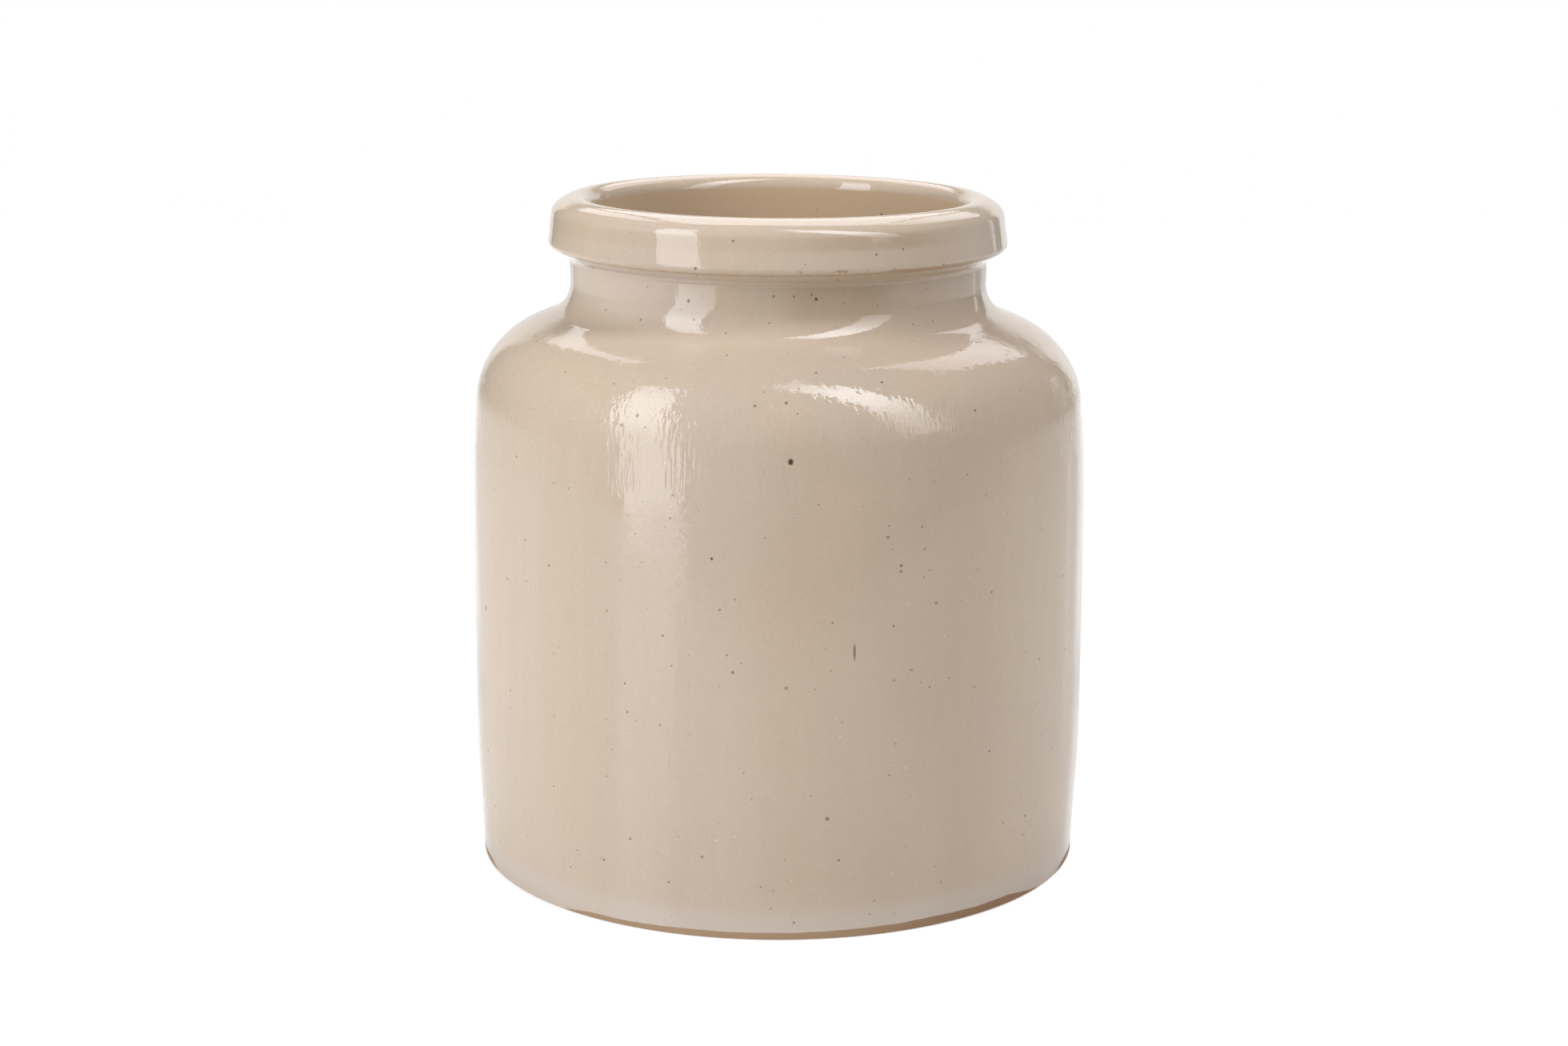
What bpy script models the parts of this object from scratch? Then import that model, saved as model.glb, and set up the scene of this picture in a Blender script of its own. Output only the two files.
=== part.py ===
"""A wide-mouthed stoneware jar with a short neck and a thick turned collar, glazed inside and out.

The jar is one turned piece of fired clay, and the glass skin that was melted onto it. Both are
solids of revolution about +Z, and the origin is the centre of the foot, on the ground. Lengths
are in metres.

One outline drives both pieces: the surface of the finished glaze. It starts at the glaze line
just above the foot, climbs the wall, bends over the shoulder, goes up the neck and round the
collar, and runs down the inside to the middle of the floor. The back of the glaze follows it at
the depth of the skin, and the clay follows it a little deeper and carries on below the glaze
line, bare, to the foot ring and the recess under the base.
"""

import math

import bmesh
import bpy
from mathutils import Matrix, Vector

# Outside radii, from the foot to the neck
BODY_RADIUS = 0.0750
FOOT_DRAW_IN = 0.0013
WALL_DRAW_IN = 0.0002
SHOULDER_DRAW_IN = 0.0026
NECK_RADIUS = 0.0504

# Rises, stacked from the ground to the rim
HEEL_RISE = 0.0260
WALL_RISE = 0.0738
SHOULDER_BEND_RISE = 0.0263
SHOULDER_RISE = 0.0094
NECK_RISE = 0.0119

# Rounds of the body, from the heel to the neck
HEEL_SWEEP = 0.195
WALL_SWEEP = 0.238
SHOULDER_ROUND = 0.0216
NECK_FOOT_ROUND = 0.0062

# Collar, measured from the top of the neck
COLLAR_OVERHANG = 0.0058
COLLAR_UNDERSIDE_RISE = 0.0026
COLLAR_FLANK_RISE = 0.0119
COLLAR_FLANK_DRAW_IN = 0.0025
UNDERCUT_ROUND = 0.0008
COLLAR_LOW_ROUND = 0.0038
COLLAR_TOP_ROUND = 0.0056
LIP_ROUND = 0.0026

# Walls and floor, from glaze surface to glaze surface
NECK_WALL = 0.0050
BODY_WALL = 0.0060
BASE_THICKNESS = 0.0085
NECK_INSIDE_ROUND = 0.0060
FLOOR_ROUND = 0.0140

# Foot ring and the recess inside it
FOOT_RING_WIDTH = 0.0095
FOOT_EDGE_ROUND = 0.0006
BASE_RECESS = 0.0014
RECESS_SLOPE = 0.0030
RECESS_ROUND = 0.0012

# Glaze, and the gap that keeps the two touching solids apart
GLAZE_THICKNESS = 0.0005
GLAZE_LINE = 0.0020
SEAT_GAP = 0.0003

# How finely the turned forms are divided
SEGMENTS = 48
ARC_STEP = math.radians(21)
SHARP_ANGLE = math.radians(40)

LEAST_ROUND = 0.00005
MERGE_DISTANCE = 0.000001


def outward(side):
    """The unit normal on the right of a side, where the clay is on its left."""
    return Vector((side.y, -side.x)).normalized()


def rounded(corners):
    """Points and outward normals along a line with the clay on its left, in (radius, height).

    Each corner is (place, round). The first and the last stay as they are, and where two rounds
    are too large for the side between them, both are drawn in.
    """
    places = [place for place, _ in corners]
    sides = [end - start for start, end in zip(places, places[1:])]
    bends = [math.atan2(a.cross(b), a.dot(b)) for a, b in zip(sides, sides[1:])]
    turns = [0.0, *bends, 0.0]
    cuts = [size * abs(math.tan(turn / 2)) for (_, size), turn in zip(corners, turns)]
    spare = [side.length / max(a + b, side.length) for side, a, b in zip(sides, cuts, cuts[1:])]
    line = [(places[0], outward(sides[0]))]
    for place, turn, cut, before, after, room in zip(
        places[1:], bends, cuts[1:], sides, sides[1:], map(min, spare, spare[1:])
    ):
        line += arc(place, turn, cut * room, before)
    return line + [(places[-1], outward(sides[-1]))]


def arc(corner, turn, cut, side_before):
    """Points and outward normals of the round that starts at the distance cut before a corner."""
    first = outward(side_before)
    radius = math.copysign(cut / abs(math.tan(turn / 2)), turn)
    centre = corner - side_before.normalized() * cut - first * radius
    steps = max(1, round(abs(turn) / ARC_STEP))
    normals = [Matrix.Rotation(turn * step / steps, 2) @ first for step in range(steps + 1)]
    return [(centre + normal * radius, normal) for normal in normals]


def sunk(line, depth):
    """The points of a line of points and normals, at a depth under its surface."""
    return [point - normal * depth for point, normal in line]


def parallel_side(start, end, depth):
    """A point and a direction of the side from start to end, moved under its surface."""
    side = end - start
    return start - outward(side) * depth, side


def meeting(first, second):
    """Where two lines meet, each given as a point and a direction."""
    (start, along), (other, other_along) = first, second
    return start + along * ((other - start).cross(other_along) / along.cross(other_along))


def inner_round(outer_round, wall):
    """The round that keeps a wall even behind an outer one."""
    return max(outer_round - wall, LEAST_ROUND)


def outer_corners():
    """The five corners of the jar's outside below the neck, from the ground up."""
    heel_height = HEEL_RISE
    wall_height = heel_height + WALL_RISE
    shoulder_height = wall_height + SHOULDER_BEND_RISE
    neck_height = shoulder_height + SHOULDER_RISE
    return (
        Vector((BODY_RADIUS - FOOT_DRAW_IN, 0.0)),
        Vector((BODY_RADIUS, heel_height)),
        Vector((BODY_RADIUS - WALL_DRAW_IN, wall_height)),
        Vector((BODY_RADIUS - SHOULDER_DRAW_IN, shoulder_height)),
        Vector((NECK_RADIUS, neck_height)),
    )


def collar_corners(neck_height):
    """The corners and rounds of the neck's top, the collar and its lip, up to the mouth."""
    under = neck_height + NECK_RISE
    low = under + COLLAR_UNDERSIDE_RISE
    top = low + COLLAR_FLANK_RISE
    widest = NECK_RADIUS + COLLAR_OVERHANG
    return [
        (Vector((NECK_RADIUS, under)), UNDERCUT_ROUND),
        (Vector((widest, low)), COLLAR_LOW_ROUND),
        (Vector((widest - COLLAR_FLANK_DRAW_IN, top)), COLLAR_TOP_ROUND),
        (Vector((NECK_RADIUS - NECK_WALL, top)), LIP_ROUND),
    ]


def inner_corners(foot, heel, wall, shoulder, neck):
    """The corners and rounds of the inside, from the foot of the bore down to the floor's middle."""
    down = Vector((0.0, -1.0))
    bore = (Vector((NECK_RADIUS - NECK_WALL, 0.0)), down)
    floor = (Vector((0.0, BASE_THICKNESS)), Vector((1.0, 0.0)))
    slope = parallel_side(shoulder, neck, BODY_WALL)
    bend = parallel_side(wall, shoulder, BODY_WALL)
    side = parallel_side(heel, wall, BODY_WALL)
    low_side = parallel_side(foot, heel, BODY_WALL)
    return [
        (meeting(slope, bore), NECK_INSIDE_ROUND),
        (meeting(slope, bend), inner_round(SHOULDER_ROUND, BODY_WALL)),
        (meeting(bend, side), inner_round(WALL_SWEEP, BODY_WALL)),
        (meeting(side, low_side), inner_round(HEEL_SWEEP, BODY_WALL)),
        (meeting(low_side, floor), FLOOR_ROUND),
        (floor[0], 0.0),
    ]


def glaze_line():
    """The finished surface from the glaze line, over the collar, to the middle of the floor."""
    foot, heel, wall, shoulder, neck = outer_corners()
    start = meeting((foot, heel - foot), (Vector((0.0, GLAZE_LINE)), Vector((1.0, 0.0))))
    return rounded(
        [
            (start, 0.0),
            (heel, HEEL_SWEEP),
            (wall, WALL_SWEEP),
            (shoulder, SHOULDER_ROUND),
            (neck, NECK_FOOT_ROUND),
            *collar_corners(neck.y),
            *inner_corners(foot, heel, wall, shoulder, neck),
        ]
    )


def foot_line(wall_start):
    """The bare clay from the axis under the base, round the foot ring, up to where the wall starts."""
    foot, heel, *_ = outer_corners()
    ground = (Vector((0.0, 0.0)), Vector((1.0, 0.0)))
    edge = meeting(parallel_side(foot, heel, GLAZE_THICKNESS + SEAT_GAP), ground)
    ring_inside = edge.x - FOOT_RING_WIDTH
    line = rounded(
        [
            (Vector((0.0, BASE_RECESS)), 0.0),
            (Vector((ring_inside - RECESS_SLOPE, BASE_RECESS)), RECESS_ROUND),
            (Vector((ring_inside, 0.0)), RECESS_ROUND),
            (edge, FOOT_EDGE_ROUND),
            (wall_start, 0.0),
        ]
    )
    return [point for point, _ in line[:-1]]


def turned(name, points, material):
    """The closed solid that a line of (radius, height) points, from axis to axis, sweeps about +Z."""
    mesh = bpy.data.meshes.new(name)
    shape = bmesh.new()
    verts = [shape.verts.new((point.x, 0.0, point.y)) for point in points]
    edges = [shape.edges.new(pair) for pair in zip(verts, verts[1:])]
    bmesh.ops.spin(
        shape,
        geom=verts + edges,
        cent=(0.0, 0.0, 0.0),
        axis=(0.0, 0.0, 1.0),
        angle=math.tau,
        steps=SEGMENTS,
        use_merge=True,
    )
    bmesh.ops.remove_doubles(shape, verts=shape.verts[:], dist=MERGE_DISTANCE)
    bmesh.ops.recalc_face_normals(shape, faces=shape.faces[:])
    shape.to_mesh(mesh)
    shape.free()
    mesh.shade_smooth()
    mesh.set_sharp_from_angle(angle=SHARP_ANGLE)
    mesh.materials.append(material)
    piece = bpy.data.objects.new(name, mesh)
    bpy.context.scene.collection.objects.link(piece)
    return piece


def surface(name, colour, roughness, coat_weight=0.0):
    """A fired, non-metallic surface."""
    material = bpy.data.materials.new(name)
    material.use_nodes = True
    shader = material.node_tree.nodes["Principled BSDF"]
    shader.inputs["Base Color"].default_value = colour
    shader.inputs["Metallic"].default_value = 0.0
    shader.inputs["Roughness"].default_value = roughness
    shader.inputs["Coat Weight"].default_value = coat_weight
    return material


def make_clay_body(finished):
    """The fired clay: the whole jar under its glaze, bare at the foot."""
    clay = surface("fired_clay", (0.40, 0.25, 0.15, 1.0), roughness=0.80)
    under_glaze = sunk(finished, GLAZE_THICKNESS + SEAT_GAP)
    return turned("clay_body", foot_line(under_glaze[0]) + under_glaze, clay)


def make_glaze_coat(finished):
    """The glass skin: one coat over the outside, the collar and the inside."""
    glaze = surface("beige_glaze", (0.55, 0.45, 0.35, 1.0), roughness=0.22, coat_weight=0.5)
    front = sunk(finished, 0.0)
    back = sunk(finished, GLAZE_THICKNESS)
    return turned("glaze_coat", back[::-1] + front, glaze)


def main():
    for leftover in list(bpy.data.objects):
        bpy.data.objects.remove(leftover)
    finished = glaze_line()
    make_clay_body(finished)
    make_glaze_coat(finished)


main()
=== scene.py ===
"""A hand-thrown stoneware jar under soft studio light.

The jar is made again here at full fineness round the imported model: the glass skin with its
speckled glaze, and the fired clay that shows as a bare band at the foot. Both are turned from
one outline, then pushed a little out of true, as a thrown pot is. Outlines are written in
millimetres as (radius, height) from the middle of the foot, and everything else is in metres.
The camera looks along +Y, and +Z is up the jar's axis.
"""

import logging
import math
from collections.abc import Mapping, Sequence
from dataclasses import dataclass
from enum import Enum
from functools import cached_property

import bpy
from mathutils import Matrix, Vector

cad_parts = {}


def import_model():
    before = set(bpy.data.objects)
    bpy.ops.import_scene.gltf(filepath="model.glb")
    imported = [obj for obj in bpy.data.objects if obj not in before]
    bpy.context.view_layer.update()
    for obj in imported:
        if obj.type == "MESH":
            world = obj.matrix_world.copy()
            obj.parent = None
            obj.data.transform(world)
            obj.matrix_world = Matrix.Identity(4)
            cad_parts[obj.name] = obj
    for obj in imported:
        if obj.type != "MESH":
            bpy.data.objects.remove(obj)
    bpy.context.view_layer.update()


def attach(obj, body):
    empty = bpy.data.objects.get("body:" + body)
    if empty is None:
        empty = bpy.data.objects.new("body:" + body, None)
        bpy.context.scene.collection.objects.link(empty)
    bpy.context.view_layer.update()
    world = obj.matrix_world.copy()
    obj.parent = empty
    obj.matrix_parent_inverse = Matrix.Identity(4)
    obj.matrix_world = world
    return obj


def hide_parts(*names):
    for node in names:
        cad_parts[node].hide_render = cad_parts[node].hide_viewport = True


logging.basicConfig(level=logging.INFO, format="%(name)s: %(message)s")
LOG = logging.getLogger("jar")

MM = 0.001
DECIMETRE = 100.0
MERGE_DISTANCE = 1e-6
NO_LENGTH = 1e-4
NO_ANGLE = 1e-5

Colour = tuple[float, float, float]
# A start and an end, or a low end and a high one.
Pair = tuple[float, float]
# The low and high end of a band, and the soft margin outside both.
Band = tuple[float, float, float]


def from_hex(code: str) -> Colour:
    """A screen colour as the linear colour that a shader takes.

    Args:
        code: Six hexadecimal digits.

    Returns:
        Red, green and blue from 0 to 1, linear.
    """
    shares = [int(code[place : place + 2], 16) / 255 for place in (0, 2, 4)]
    red, green, blue = (
        share / 12.92 if share <= 0.04045 else ((share + 0.055) / 1.055) ** 2.4
        for share in shares
    )
    return red, green, blue


def grey(level: float) -> Colour:
    """A grey with all three shares at one level."""
    return level, level, level


def opaque(colour: Colour) -> tuple[float, float, float, float]:
    """The colour with an alpha of one, as colour sockets want it."""
    return (*colour, 1.0)


class Blend(Enum):
    """How two colours are put together."""

    MIX = "MIX"
    MULTIPLY = "MULTIPLY"


class MixSocket(Enum):
    """The numbers of the Mix node's sockets when it mixes colours."""

    FACTOR = 0
    FIRST = 6
    SECOND = 7
    RESULT = 2


class Signal:
    """A number that changes over a surface. An expression on signals adds its Math nodes."""

    def __init__(self, nodes: "Nodes", socket: bpy.types.NodeSocket) -> None:
        """Wraps an output socket of a node tree."""
        self.nodes = nodes
        self.socket = socket

    def _math(self, operation: str, first: "Signal | float", second: "Signal | float") -> "Signal":
        """The result of one Math node."""
        made = self.nodes.add(
            "ShaderNodeMath", settings={"operation": operation}, inputs={0: first, 1: second}
        )
        return Signal(self.nodes, made.outputs[0])

    def __add__(self, other: "Signal | float") -> "Signal":
        """This signal plus another or a number."""
        return self._math("ADD", self, other)

    def __radd__(self, other: float) -> "Signal":
        """A number plus this signal."""
        return self._math("ADD", other, self)

    def __sub__(self, other: "Signal | float") -> "Signal":
        """This signal minus another or a number."""
        return self._math("SUBTRACT", self, other)

    def __rsub__(self, other: float) -> "Signal":
        """A number minus this signal."""
        return self._math("SUBTRACT", other, self)

    def __mul__(self, other: "Signal | float") -> "Signal":
        """This signal times another or a number."""
        return self._math("MULTIPLY", self, other)

    def __rmul__(self, other: float) -> "Signal":
        """A number times this signal."""
        return self._math("MULTIPLY", other, self)

    def __truediv__(self, other: "Signal | float") -> "Signal":
        """This signal divided by another or a number."""
        return self._math("DIVIDE", self, other)

    def __pow__(self, other: "Signal | float") -> "Signal":
        """This signal to a power."""
        return self._math("POWER", self, other)

    def most(self, other: "Signal | float") -> "Signal":
        """The greater of the two."""
        return self._math("MAXIMUM", self, other)

    def rise(self, start: float, end: float) -> "Signal":
        """A smooth step, from 0 where this signal is start to 1 where it is end.

        Args:
            start: The value with the result 0.
            end: The value with the result 1, above or below start.

        Returns:
            The step, between 0 and 1.
        """
        low, high = min(start, end), max(start, end)
        made = self.nodes.add(
            "ShaderNodeMapRange",
            settings={"interpolation_type": "SMOOTHSTEP"},
            inputs={"Value": self, "From Min": low, "From Max": high, "To Min": 0.0, "To Max": 1.0},
        )
        step = Signal(self.nodes, made.outputs["Result"])
        return step if start < end else 1.0 - step

    def band(self, low: float, high: float, soft: float) -> "Signal":
        """One between low and high, falling to 0 over a soft margin outside both."""
        return self.rise(low - soft, low) * self.rise(high + soft, high)


class Nodes:
    """The node tree of one material, lamp or world, and the ways to add to it.

    The edge of a dot fades between the two shares of its radius in dot_edge.
    """

    dot_edge: Pair = (1.15, 0.7)
    no_share: float = 0.001

    def __init__(self, tree: bpy.types.NodeTree) -> None:
        """Empties the tree."""
        self.tree = tree
        tree.nodes.clear()

    def add(
        self,
        kind: str,
        settings: Mapping[str, object] | None = None,
        inputs: Mapping[int | str, object] | None = None,
    ) -> bpy.types.Node:
        """Adds one node.

        Args:
            kind: The node's type.
            settings: Its properties, set first. "stops" are a colour ramp's (place, colour) pairs.
            inputs: Values, signals or sockets, by the input's name or number.

        Returns:
            The node.
        """
        made = self.tree.nodes.new(kind)
        for name, value in (settings or {}).items():
            if name == "stops":
                self._set_stops(made.color_ramp, value)
            else:
                setattr(made, name, value)
        for key, value in (inputs or {}).items():
            if isinstance(value, Signal):
                self.tree.links.new(value.socket, made.inputs[key])
            elif isinstance(value, bpy.types.NodeSocket):
                self.tree.links.new(value, made.inputs[key])
            else:
                made.inputs[key].default_value = value
        return made

    @staticmethod
    def _set_stops(ramp: bpy.types.ColorRamp, stops: Sequence[tuple[float, Colour]]) -> None:
        """Gives a ramp its stops, in rising order."""
        while len(ramp.elements) < len(stops):
            ramp.elements.new(1.0)
        for element, (place, colour) in zip(ramp.elements, stops):
            element.position = place
            element.color = opaque(colour)

    @cached_property
    def place(self) -> bpy.types.NodeSocket:
        """Where a point is on the piece, as a vector in metres."""
        return self.add("ShaderNodeTexCoord").outputs["Object"]

    @cached_property
    def axes(self) -> tuple[Signal, Signal, Signal]:
        """The point's x, y and z as three signals, in millimetres."""
        split = self.add("ShaderNodeSeparateXYZ", inputs={0: self.place})
        x, y, z = (Signal(self, split.outputs[index]) / MM for index in range(3))
        return x, y, z

    @cached_property
    def radius(self) -> Signal:
        """The point's distance from the jar's axis, in millimetres."""
        x, y, _ = self.axes
        return (x * x + y * y) ** 0.5

    def stretched(
        self, scale: Sequence[float], shift: Sequence[float] = (0.0, 0.0, 0.0)
    ) -> bpy.types.NodeSocket:
        """The place scaled along each axis, for a pattern that runs one way.

        Args:
            scale: Pattern cells to a metre along x, y and z.
            shift: Added after the scale, so that two patterns differ.

        Returns:
            The scaled place.
        """
        made = self.add(
            "ShaderNodeMapping",
            inputs={"Vector": self.place, "Location": tuple(shift), "Scale": tuple(scale)},
        )
        return made.outputs["Vector"]

    def noise(
        self, vector: bpy.types.NodeSocket, detail: float = 2.0, roughness: float = 0.5
    ) -> Signal:
        """Soft noise round 0.5, with cells one unit of the vector across."""
        made = self.add(
            "ShaderNodeTexNoise",
            settings={"noise_dimensions": "3D"},
            inputs={"Vector": vector, "Scale": 1.0, "Detail": detail, "Roughness": roughness},
        )
        return Signal(self, made.outputs["Fac"])

    def dots(
        self, vector: bpy.types.NodeSocket, least: float, most: float, share: float
    ) -> Signal:
        """Scattered round dots of mixed sizes, one for some of the cells of a Voronoi pattern.

        Args:
            vector: The place in cells.
            least: The radius of the smallest dot, in cells.
            most: The radius of the largest dot, in cells.
            share: How many of the cells have a dot, from 0 to 1.

        Returns:
            One inside a dot and 0 outside it.
        """
        cells = self.add(
            "ShaderNodeTexVoronoi",
            settings={"voronoi_dimensions": "3D", "feature": "F1"},
            inputs={"Vector": vector, "Scale": 1.0, "Randomness": 1.0},
        )
        chance = self.add("ShaderNodeSeparateColor", inputs={0: cells.outputs["Color"]})
        drawn = Signal(self, chance.outputs[0])
        sized = Signal(self, chance.outputs[1])
        radius = least + (most - least) * sized**3.0
        near = Signal(self, cells.outputs["Distance"]) / radius
        return near.rise(*self.dot_edge) * drawn.rise(share + self.no_share, share)

    def distance_to(self, point: Sequence[float], flatten: float = 1.0) -> Signal:
        """How far a point of the surface is from one place, in millimetres.

        Args:
            point: The place, in millimetres.
            flatten: What heights count for, below 1 for a tall mark.

        Returns:
            The distance in millimetres.
        """
        squash = (1.0, 1.0, flatten)
        target = tuple(value * MM * share for value, share in zip(point, squash))
        place = self.place if flatten == 1.0 else self.stretched(squash)
        made = self.add(
            "ShaderNodeVectorMath",
            settings={"operation": "DISTANCE"},
            inputs={0: place, 1: target},
        )
        return Signal(self, made.outputs["Value"]) / MM

    def colours(
        self,
        mask: Signal | float,
        first: bpy.types.NodeSocket | Colour,
        second: bpy.types.NodeSocket | Colour,
        blend: Blend = Blend.MIX,
    ) -> bpy.types.NodeSocket:
        """Puts two colours together by a mask, through a Mix node.

        Args:
            mask: How much of the second colour there is.
            first: The colour where the mask is 0.
            second: The colour where the mask is 1.
            blend: How the second colour is laid over the first.

        Returns:
            The colour.
        """
        made = self.add(
            "ShaderNodeMix",
            settings={"data_type": "RGBA", "blend_type": blend.value},
            inputs={
                MixSocket.FACTOR.value: mask,
                MixSocket.FIRST.value: opaque(first) if isinstance(first, tuple) else first,
                MixSocket.SECOND.value: opaque(second) if isinstance(second, tuple) else second,
            },
        )
        return made.outputs[MixSocket.RESULT.value]

    def bump(
        self, height: Signal, depth: float, below: bpy.types.NodeSocket | None = None
    ) -> bpy.types.NodeSocket:
        """Turns a height signal into a slope of the surface.

        Args:
            height: The height, as a share of the depth.
            depth: What a height of 1 stands for, in metres.
            below: The slope that this one is added to.

        Returns:
            The sloped normal.
        """
        inputs: dict[int | str, object] = {"Height": height, "Distance": depth, "Strength": 1.0}
        if below is not None:
            inputs["Normal"] = below
        return self.add("ShaderNodeBump", inputs=inputs).outputs["Normal"]

    def by_ray(self, camera: bpy.types.Node, others: bpy.types.Node) -> bpy.types.Node:
        """One shader where the camera looks, and another for light and reflections.

        Args:
            camera: The shader that the camera sees.
            others: The shader that all other rays meet.

        Returns:
            The shader that takes one or the other.
        """
        seen = self.add("ShaderNodeLightPath").outputs["Is Camera Ray"]
        return self.add(
            "ShaderNodeMixShader", inputs={0: seen, 1: others.outputs[0], 2: camera.outputs[0]}
        )

    def finish(self, shader: bpy.types.Node, target: str = "ShaderNodeOutputMaterial") -> None:
        """Joins the last shader to the output."""
        self.add(target, inputs={"Surface": shader.outputs[0]})


def new_material(name: str) -> tuple[bpy.types.Material, Nodes]:
    """A new material and its node tree, still empty."""
    material = bpy.data.materials.new(name)
    material.use_nodes = True
    return material, Nodes(material.node_tree)


@dataclass(frozen=True)
class Corner:
    """One corner of an outline, in millimetres, with the round that takes it off."""

    radius: float
    height: float
    round: float = 0.0

    @property
    def point(self) -> Vector:
        """The corner's place in the outline's plane."""
        return Vector((self.radius, self.height))


@dataclass(frozen=True)
class Outline:
    """A rounded line that is turned about the jar's axis, with the clay on its left."""

    corners: tuple[Corner, ...]
    arc_step: float = math.radians(5.0)
    longest_step: float = 2.6

    def points(self, depth: float = 0.0) -> list[Vector]:
        """The points along the line, from its first corner to its last.

        Args:
            depth: How far under the line's right-hand side they lie, in millimetres.

        Returns:
            (radius, height) points, in millimetres.
        """
        line = self._rounded()
        dense = [line[0]]
        for (start, first), (end, last) in zip(line, line[1:]):
            count = max(1, math.ceil((end - start).length / self.longest_step))
            for step in range(1, count + 1):
                share = step / count
                dense.append((start.lerp(end, share), first.lerp(last, share).normalized()))
        return [point - normal * depth for point, normal in dense]

    def _rounded(self) -> list[tuple[Vector, Vector]]:
        """Points and outward normals, with each corner rounded as far as its sides allow."""
        places = [corner.point for corner in self.corners]
        sides = [end - start for start, end in zip(places, places[1:])]
        bends = [math.atan2(a.cross(b), a.dot(b)) for a, b in zip(sides, sides[1:])]
        turns = [0.0, *bends, 0.0]
        cuts = [c.round * abs(math.tan(turn / 2)) for c, turn in zip(self.corners, turns)]
        spare = [side.length / max(a + b, side.length) for side, a, b in zip(sides, cuts, cuts[1:])]
        line = [(places[0], self._outward(sides[0]))]
        for index, turn in enumerate(bends):
            cut = cuts[index + 1] * min(spare[index], spare[index + 1])
            line += self._arc(places[index + 1], turn, cut, sides[index])
        return [*line, (places[-1], self._outward(sides[-1]))]

    def _arc(
        self, corner: Vector, turn: float, cut: float, side_before: Vector
    ) -> list[tuple[Vector, Vector]]:
        """Points and normals of the round that starts the distance cut before a corner."""
        first = self._outward(side_before)
        if cut < NO_LENGTH or abs(turn) < NO_ANGLE:
            second = Matrix.Rotation(turn, 2) @ first
            return [(corner, (first + second).normalized())]
        radius = math.copysign(cut / abs(math.tan(turn / 2)), turn)
        centre = corner - side_before.normalized() * cut - first * radius
        steps = max(2, round(abs(turn) / self.arc_step))
        normals = [Matrix.Rotation(turn * step / steps, 2) @ first for step in range(steps + 1)]
        return [(centre + normal * radius, normal) for normal in normals]

    @staticmethod
    def _outward(side: Vector) -> Vector:
        """The unit normal on the right of a side."""
        return Vector((side.y, -side.x)).normalized()


class Wheel:
    """Turns outlines into closed pieces, as a pot is turned."""

    def __init__(self, segments: int = 256) -> None:
        """Sets how many steps a turn has."""
        self.segments = segments

    def turn(self, name: str, points: Sequence[Vector]) -> bpy.types.Object:
        """Sweeps a line of points about +Z.

        Args:
            name: The piece's name.
            points: (radius, height) points in millimetres, with both ends on the axis.

        Returns:
            The closed piece, with its faces outward.
        """
        bpy.ops.object.select_all(action="DESELECT")
        bpy.ops.mesh.primitive_plane_add(size=MM, location=(0.0, 0.0, 0.0))
        piece = bpy.context.object
        piece.name = piece.data.name = name
        bpy.ops.object.mode_set(mode="EDIT")
        bpy.ops.mesh.select_all(action="SELECT")
        bpy.ops.mesh.merge(type="CENTER")
        bpy.ops.transform.translate(value=(points[0].x * MM, 0.0, points[0].y * MM))
        for start, end in zip(points, points[1:]):
            step = (end - start) * MM
            move = {"value": (step.x, 0.0, step.y)}
            bpy.ops.mesh.extrude_region_move(TRANSFORM_OT_translate=move)
        bpy.ops.mesh.select_all(action="SELECT")
        bpy.ops.mesh.spin(
            steps=self.segments, angle=math.tau, center=(0.0, 0.0, 0.0), axis=(0.0, 0.0, 1.0)
        )
        bpy.ops.mesh.select_all(action="SELECT")
        bpy.ops.mesh.remove_doubles(threshold=MERGE_DISTANCE)
        bpy.ops.mesh.normals_make_consistent(inside=False)
        bpy.ops.object.mode_set(mode="OBJECT")
        return piece


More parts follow.
